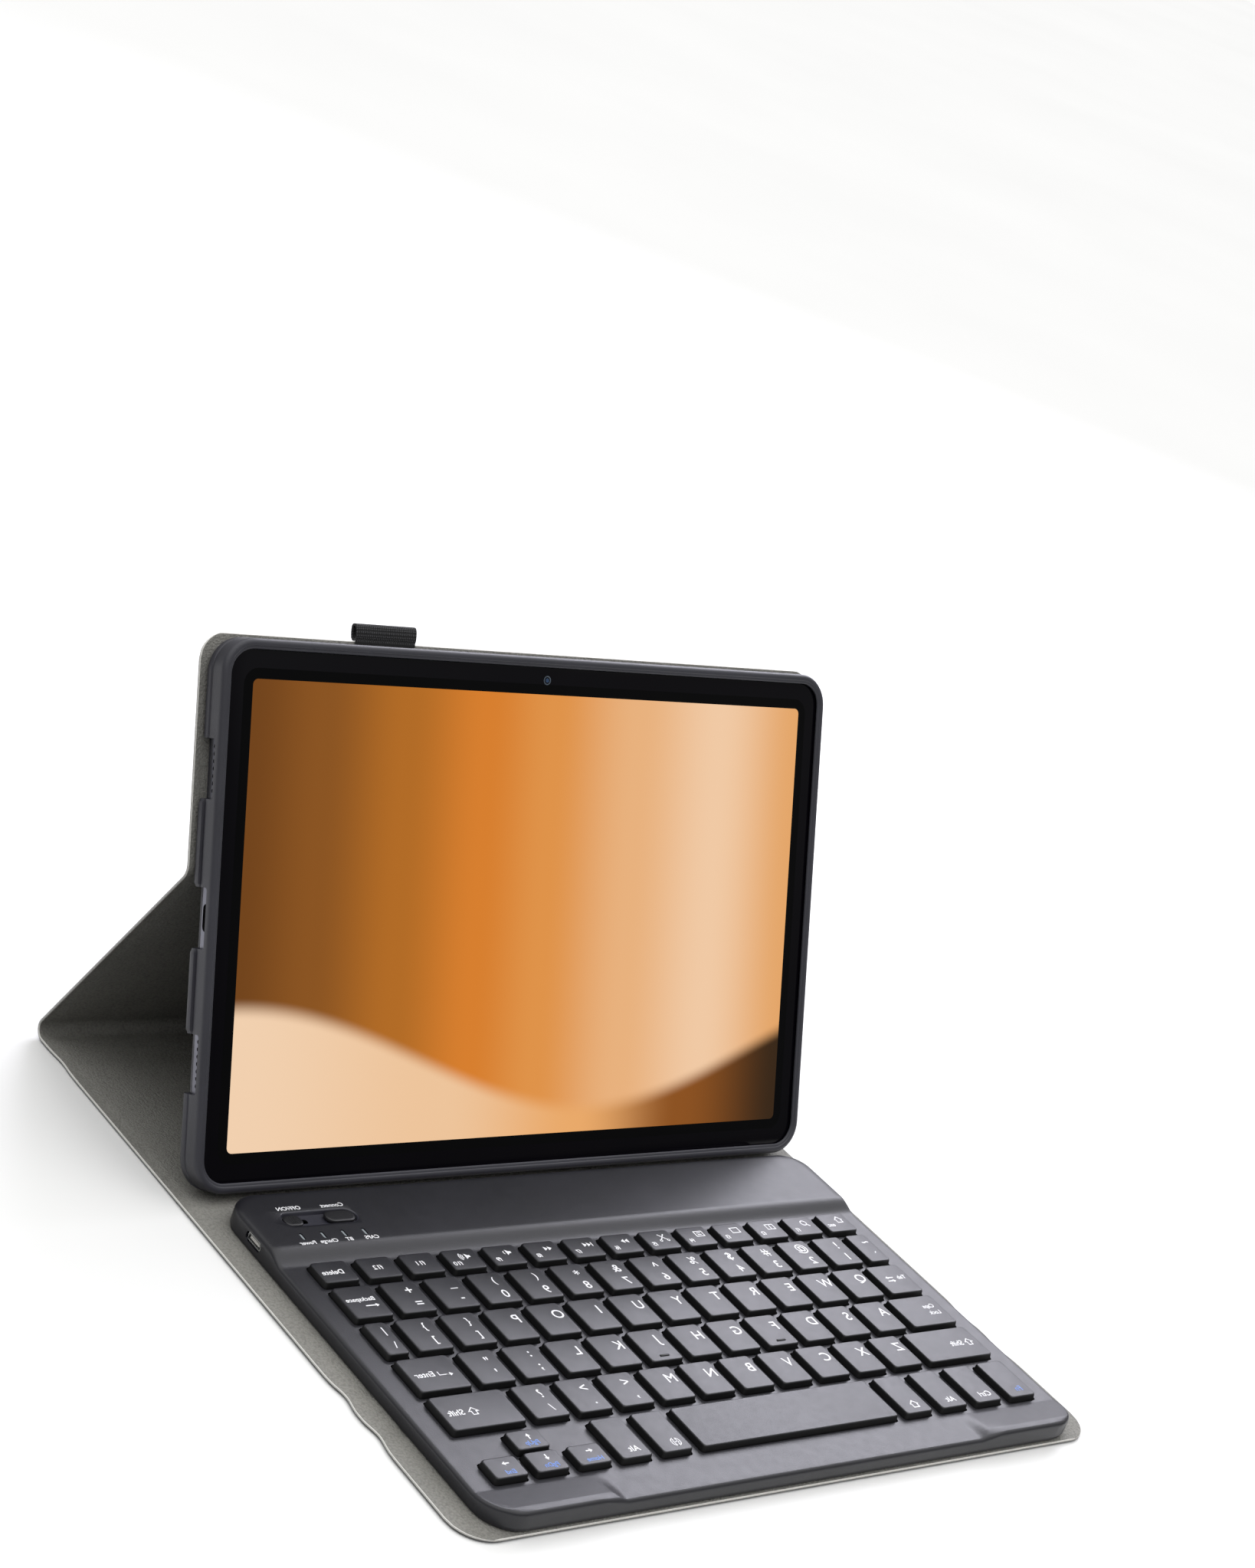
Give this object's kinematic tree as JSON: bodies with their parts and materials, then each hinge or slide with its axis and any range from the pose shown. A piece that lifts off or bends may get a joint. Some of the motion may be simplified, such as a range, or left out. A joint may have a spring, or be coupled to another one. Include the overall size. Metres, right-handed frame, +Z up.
{
  "type": "tablet keyboard case",
  "caption": "Folding leather-look folio standing open, with a tablet in a soft shell leaning on a prop panel and a slim lift-off keyboard lying on the base panel.",
  "frame": {"origin": "centre of the footprint on the desk, taken from the outline of the whole open case", "axes": "+X to the viewer's right, +Y from the front edge toward the rear fold, +Z up"},
  "size_m": [0.265, 0.266, 0.1642],
  "materials": {
    "leather_outer": "fine pebble grain, satin",
    "elastic_black": "ribbed elastic",
    "shell_soft": "satin soft moulding",
    "tablet_metal": "fine blasted",
    "tablet_glass": "polished",
    "deck_plastic": "satin",
    "bottom_plastic": "satin",
    "key_plastic": "satin",
    "plate_steel": "plain",
    "battery_foil": "foil",
    "board_green": "solder mask",
    "port_metal": "bright",
    "light_clear": "clear",
    "switch_plastic": "satin"
  },
  "bodies": {
    "base": {"cover_base_panel": "leather_outer", "cover_spine": "leather_outer"},
    "front_strip": {"cover_front_strip": "leather_outer"},
    "flap": {"cover_flap": "leather_outer"},
    "prop": {"cover_prop_panel": "leather_outer"},
    "back": {"cover_back_panel": "leather_outer", "pen_loop": "elastic_black", "tablet_shell": "shell_soft", "tablet_body": "tablet_metal", "tablet_glass": "tablet_glass"},
    "keyboard": {"keyboard_deck": "deck_plastic", "keyboard_bottom": "bottom_plastic", "key_plate": "plate_steel", "battery": "battery_foil", "circuit_board": "board_green", "usb_port": "port_metal", "status_lights": "light_clear"},
    "power": {"power_switch": "switch_plastic"},
    "connect": {"connect_button": "switch_plastic"},
    "key_a": {"key_a": "key_plastic"},
    "key_b": {"key_b": "key_plastic"},
    "key_c": {"key_c": "key_plastic"},
    "key_d": {"key_d": "key_plastic"},
    "key_e": {"key_e": "key_plastic"},
    "key_f": {"key_f": "key_plastic"},
    "key_g": {"key_g": "key_plastic"},
    "key_h": {"key_h": "key_plastic"},
    "key_i": {"key_i": "key_plastic"},
    "key_j": {"key_j": "key_plastic"},
    "key_k": {"key_k": "key_plastic"},
    "key_l": {"key_l": "key_plastic"},
    "key_m": {"key_m": "key_plastic"},
    "key_n": {"key_n": "key_plastic"},
    "key_o": {"key_o": "key_plastic"},
    "key_p": {"key_p": "key_plastic"},
    "key_q": {"key_q": "key_plastic"},
    "key_r": {"key_r": "key_plastic"},
    "key_s": {"key_s": "key_plastic"},
    "key_t": {"key_t": "key_plastic"},
    "key_u": {"key_u": "key_plastic"},
    "key_v": {"key_v": "key_plastic"},
    "key_w": {"key_w": "key_plastic"},
    "key_x": {"key_x": "key_plastic"},
    "key_y": {"key_y": "key_plastic"},
    "key_z": {"key_z": "key_plastic"},
    "key_space": {"key_space": "key_plastic"},
    "key_enter": {"key_enter": "key_plastic"},
    "key_shift_left": {"key_shift_left": "key_plastic"},
    "key_shift_right": {"key_shift_right": "key_plastic"},
    "key_backspace": {"key_backspace": "key_plastic"},
    "key_tab": {"key_tab": "key_plastic"},
    "key_caps": {"key_caps": "key_plastic"},
    "key_delete": {"key_delete": "key_plastic"},
    "key_escape": {"key_escape": "key_plastic"},
    "keys_function": {"keys_function": "key_plastic"},
    "keys_number": {"keys_number": "key_plastic"},
    "keys_symbols": {"keys_symbols": "key_plastic"},
    "keys_modifiers_left": {"keys_modifiers_left": "key_plastic"},
    "keys_modifiers_right": {"keys_modifiers_right": "key_plastic"},
    "keys_arrows": {"keys_arrows": "key_plastic"}
  },
  "joints": [
    {"name": "case_prop_hinge", "type": "hinge", "parent": "base", "child": "prop", "pos_m": [0, 0.13338, 0.00075], "axis": [-1, 0, 0], "range_deg": [0, 120.53]},
    {"name": "case_back_fold", "type": "hinge", "parent": "prop", "child": "back", "pos_m": [0, 0.08029, 0.09076], "axis": [1, 0, 0], "range_deg": [0, 55.73]},
    {"name": "case_strip_hinge", "type": "hinge", "parent": "base", "child": "front_strip", "pos_m": [0, -0.06622, 0.00075], "axis": [1, 0, 0], "range_deg": [0, 90]},
    {"name": "case_flap_hinge", "type": "hinge", "parent": "front_strip", "child": "flap", "pos_m": [0, -0.08442, 0.00075], "axis": [1, 0, 0], "range_deg": [0, 90]},
    {"name": "board_lift", "type": "slide", "parent": "base", "child": "keyboard", "axis": [0, 0, 1], "range_m": [0, 0.045]},
    {"name": "board_power_slide", "type": "slide", "parent": "keyboard", "child": "power", "axis": [1, 0, 0], "range_m": [0, 0.003]},
    {"name": "board_connect_press", "type": "slide", "parent": "keyboard", "child": "connect", "axis": [0, 0, -1], "range_m": [0, 0.0004], "stiffness_N_per_m": 400},
    {"name": "key_a_press", "type": "slide", "parent": "keyboard", "child": "key_a", "axis": [0, 0, -1], "range_m": [0, 0.0012], "stiffness_N_per_m": 300},
    {"name": "key_b_press", "type": "slide", "parent": "keyboard", "child": "key_b", "axis": [0, 0, -1], "range_m": [0, 0.0012], "stiffness_N_per_m": 300},
    {"name": "key_c_press", "type": "slide", "parent": "keyboard", "child": "key_c", "axis": [0, 0, -1], "range_m": [0, 0.0012], "stiffness_N_per_m": 300},
    {"name": "key_d_press", "type": "slide", "parent": "keyboard", "child": "key_d", "axis": [0, 0, -1], "range_m": [0, 0.0012], "stiffness_N_per_m": 300},
    {"name": "key_e_press", "type": "slide", "parent": "keyboard", "child": "key_e", "axis": [0, 0, -1], "range_m": [0, 0.0012], "stiffness_N_per_m": 300},
    {"name": "key_f_press", "type": "slide", "parent": "keyboard", "child": "key_f", "axis": [0, 0, -1], "range_m": [0, 0.0012], "stiffness_N_per_m": 300},
    {"name": "key_g_press", "type": "slide", "parent": "keyboard", "child": "key_g", "axis": [0, 0, -1], "range_m": [0, 0.0012], "stiffness_N_per_m": 300},
    {"name": "key_h_press", "type": "slide", "parent": "keyboard", "child": "key_h", "axis": [0, 0, -1], "range_m": [0, 0.0012], "stiffness_N_per_m": 300},
    {"name": "key_i_press", "type": "slide", "parent": "keyboard", "child": "key_i", "axis": [0, 0, -1], "range_m": [0, 0.0012], "stiffness_N_per_m": 300},
    {"name": "key_j_press", "type": "slide", "parent": "keyboard", "child": "key_j", "axis": [0, 0, -1], "range_m": [0, 0.0012], "stiffness_N_per_m": 300},
    {"name": "key_k_press", "type": "slide", "parent": "keyboard", "child": "key_k", "axis": [0, 0, -1], "range_m": [0, 0.0012], "stiffness_N_per_m": 300},
    {"name": "key_l_press", "type": "slide", "parent": "keyboard", "child": "key_l", "axis": [0, 0, -1], "range_m": [0, 0.0012], "stiffness_N_per_m": 300},
    {"name": "key_m_press", "type": "slide", "parent": "keyboard", "child": "key_m", "axis": [0, 0, -1], "range_m": [0, 0.0012], "stiffness_N_per_m": 300},
    {"name": "key_n_press", "type": "slide", "parent": "keyboard", "child": "key_n", "axis": [0, 0, -1], "range_m": [0, 0.0012], "stiffness_N_per_m": 300},
    {"name": "key_o_press", "type": "slide", "parent": "keyboard", "child": "key_o", "axis": [0, 0, -1], "range_m": [0, 0.0012], "stiffness_N_per_m": 300},
    {"name": "key_p_press", "type": "slide", "parent": "keyboard", "child": "key_p", "axis": [0, 0, -1], "range_m": [0, 0.0012], "stiffness_N_per_m": 300},
    {"name": "key_q_press", "type": "slide", "parent": "keyboard", "child": "key_q", "axis": [0, 0, -1], "range_m": [0, 0.0012], "stiffness_N_per_m": 300},
    {"name": "key_r_press", "type": "slide", "parent": "keyboard", "child": "key_r", "axis": [0, 0, -1], "range_m": [0, 0.0012], "stiffness_N_per_m": 300},
    {"name": "key_s_press", "type": "slide", "parent": "keyboard", "child": "key_s", "axis": [0, 0, -1], "range_m": [0, 0.0012], "stiffness_N_per_m": 300},
    {"name": "key_t_press", "type": "slide", "parent": "keyboard", "child": "key_t", "axis": [0, 0, -1], "range_m": [0, 0.0012], "stiffness_N_per_m": 300},
    {"name": "key_u_press", "type": "slide", "parent": "keyboard", "child": "key_u", "axis": [0, 0, -1], "range_m": [0, 0.0012], "stiffness_N_per_m": 300},
    {"name": "key_v_press", "type": "slide", "parent": "keyboard", "child": "key_v", "axis": [0, 0, -1], "range_m": [0, 0.0012], "stiffness_N_per_m": 300},
    {"name": "key_w_press", "type": "slide", "parent": "keyboard", "child": "key_w", "axis": [0, 0, -1], "range_m": [0, 0.0012], "stiffness_N_per_m": 300},
    {"name": "key_x_press", "type": "slide", "parent": "keyboard", "child": "key_x", "axis": [0, 0, -1], "range_m": [0, 0.0012], "stiffness_N_per_m": 300},
    {"name": "key_y_press", "type": "slide", "parent": "keyboard", "child": "key_y", "axis": [0, 0, -1], "range_m": [0, 0.0012], "stiffness_N_per_m": 300},
    {"name": "key_z_press", "type": "slide", "parent": "keyboard", "child": "key_z", "axis": [0, 0, -1], "range_m": [0, 0.0012], "stiffness_N_per_m": 300},
    {"name": "key_space_press", "type": "slide", "parent": "keyboard", "child": "key_space", "axis": [0, 0, -1], "range_m": [0, 0.0012], "stiffness_N_per_m": 300},
    {"name": "key_enter_press", "type": "slide", "parent": "keyboard", "child": "key_enter", "axis": [0, 0, -1], "range_m": [0, 0.0012], "stiffness_N_per_m": 300},
    {"name": "key_shift_left_press", "type": "slide", "parent": "keyboard", "child": "key_shift_left", "axis": [0, 0, -1], "range_m": [0, 0.0012], "stiffness_N_per_m": 300},
    {"name": "key_shift_right_press", "type": "slide", "parent": "keyboard", "child": "key_shift_right", "axis": [0, 0, -1], "range_m": [0, 0.0012], "stiffness_N_per_m": 300},
    {"name": "key_backspace_press", "type": "slide", "parent": "keyboard", "child": "key_backspace", "axis": [0, 0, -1], "range_m": [0, 0.0012], "stiffness_N_per_m": 300},
    {"name": "key_tab_press", "type": "slide", "parent": "keyboard", "child": "key_tab", "axis": [0, 0, -1], "range_m": [0, 0.0012], "stiffness_N_per_m": 300},
    {"name": "key_caps_press", "type": "slide", "parent": "keyboard", "child": "key_caps", "axis": [0, 0, -1], "range_m": [0, 0.0012], "stiffness_N_per_m": 300},
    {"name": "key_delete_press", "type": "slide", "parent": "keyboard", "child": "key_delete", "axis": [0, 0, -1], "range_m": [0, 0.0012], "stiffness_N_per_m": 300},
    {"name": "key_escape_press", "type": "slide", "parent": "keyboard", "child": "key_escape", "axis": [0, 0, -1], "range_m": [0, 0.0012], "stiffness_N_per_m": 300},
    {"name": "keys_function_press", "type": "slide", "parent": "keyboard", "child": "keys_function", "axis": [0, 0, -1], "range_m": [0, 0.0012], "stiffness_N_per_m": 600},
    {"name": "keys_number_press", "type": "slide", "parent": "keyboard", "child": "keys_number", "axis": [0, 0, -1], "range_m": [0, 0.0012], "stiffness_N_per_m": 600},
    {"name": "keys_symbols_press", "type": "slide", "parent": "keyboard", "child": "keys_symbols", "axis": [0, 0, -1], "range_m": [0, 0.0012], "stiffness_N_per_m": 600},
    {"name": "keys_modifiers_left_press", "type": "slide", "parent": "keyboard", "child": "keys_modifiers_left", "axis": [0, 0, -1], "range_m": [0, 0.0012], "stiffness_N_per_m": 600},
    {"name": "keys_modifiers_right_press", "type": "slide", "parent": "keyboard", "child": "keys_modifiers_right", "axis": [0, 0, -1], "range_m": [0, 0.0012], "stiffness_N_per_m": 600},
    {"name": "keys_arrows_press", "type": "slide", "parent": "keyboard", "child": "keys_arrows", "axis": [0, 0, -1], "range_m": [0, 0.0012], "stiffness_N_per_m": 600}
  ],
  "couplings": [
    {"joint": "case_back_fold", "follows": "case_prop_hinge", "ratio": 0.46072}
  ]
}
